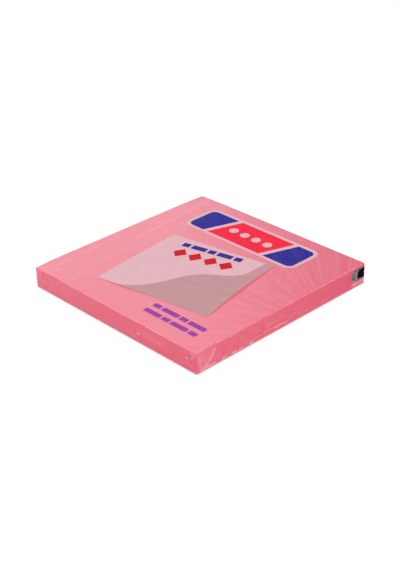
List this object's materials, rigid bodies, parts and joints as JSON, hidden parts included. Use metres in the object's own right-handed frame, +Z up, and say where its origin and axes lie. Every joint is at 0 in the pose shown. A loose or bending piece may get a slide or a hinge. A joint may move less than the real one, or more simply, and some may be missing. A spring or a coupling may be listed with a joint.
{
  "type": "sticky note pad",
  "caption": "Square pad of pink sticky notes on a release sheet, sealed in clear shrink film printed with a banner, a curled sheet figure, plain bars and a corner mark.",
  "frame": {"origin": "middle of the pad's footprint, on the surface that it lies on", "axes": "+Z up through the thickness; +X along the printed lines; +Y from the reader's side to the far side, where the banner is"},
  "size_m": [0.0764, 0.0764, 0.0074],
  "materials": {
    "pink_note_paper": "matte",
    "release_paper": "satin",
    "clear_shrink_film": "gloss",
    "pale_ink": "gloss",
    "grey_ink": "gloss",
    "deep_pink_ink": "gloss",
    "red_ink": "gloss",
    "blue_ink": "gloss",
    "purple_ink": "gloss",
    "silver_ink": "gloss",
    "black_ink": "gloss"
  },
  "bodies": {
    "root": {"note_block": "pink_note_paper", "backing_sheet": "release_paper", "film_wrap": "clear_shrink_film", "print_sheet": "pale_ink", "print_sheet_curl": "grey_ink", "print_sheet_shadow": "deep_pink_ink", "print_title_lozenges": "red_ink", "print_title_bars": "blue_ink", "print_note_bars": "purple_ink", "print_banner_ground": "pale_ink", "print_banner_ends": "blue_ink", "print_banner_middle": "red_ink", "print_banner_discs": "pale_ink", "print_corner_patch": "silver_ink", "print_corner_mark": "black_ink"}
  },
  "joints": []
}
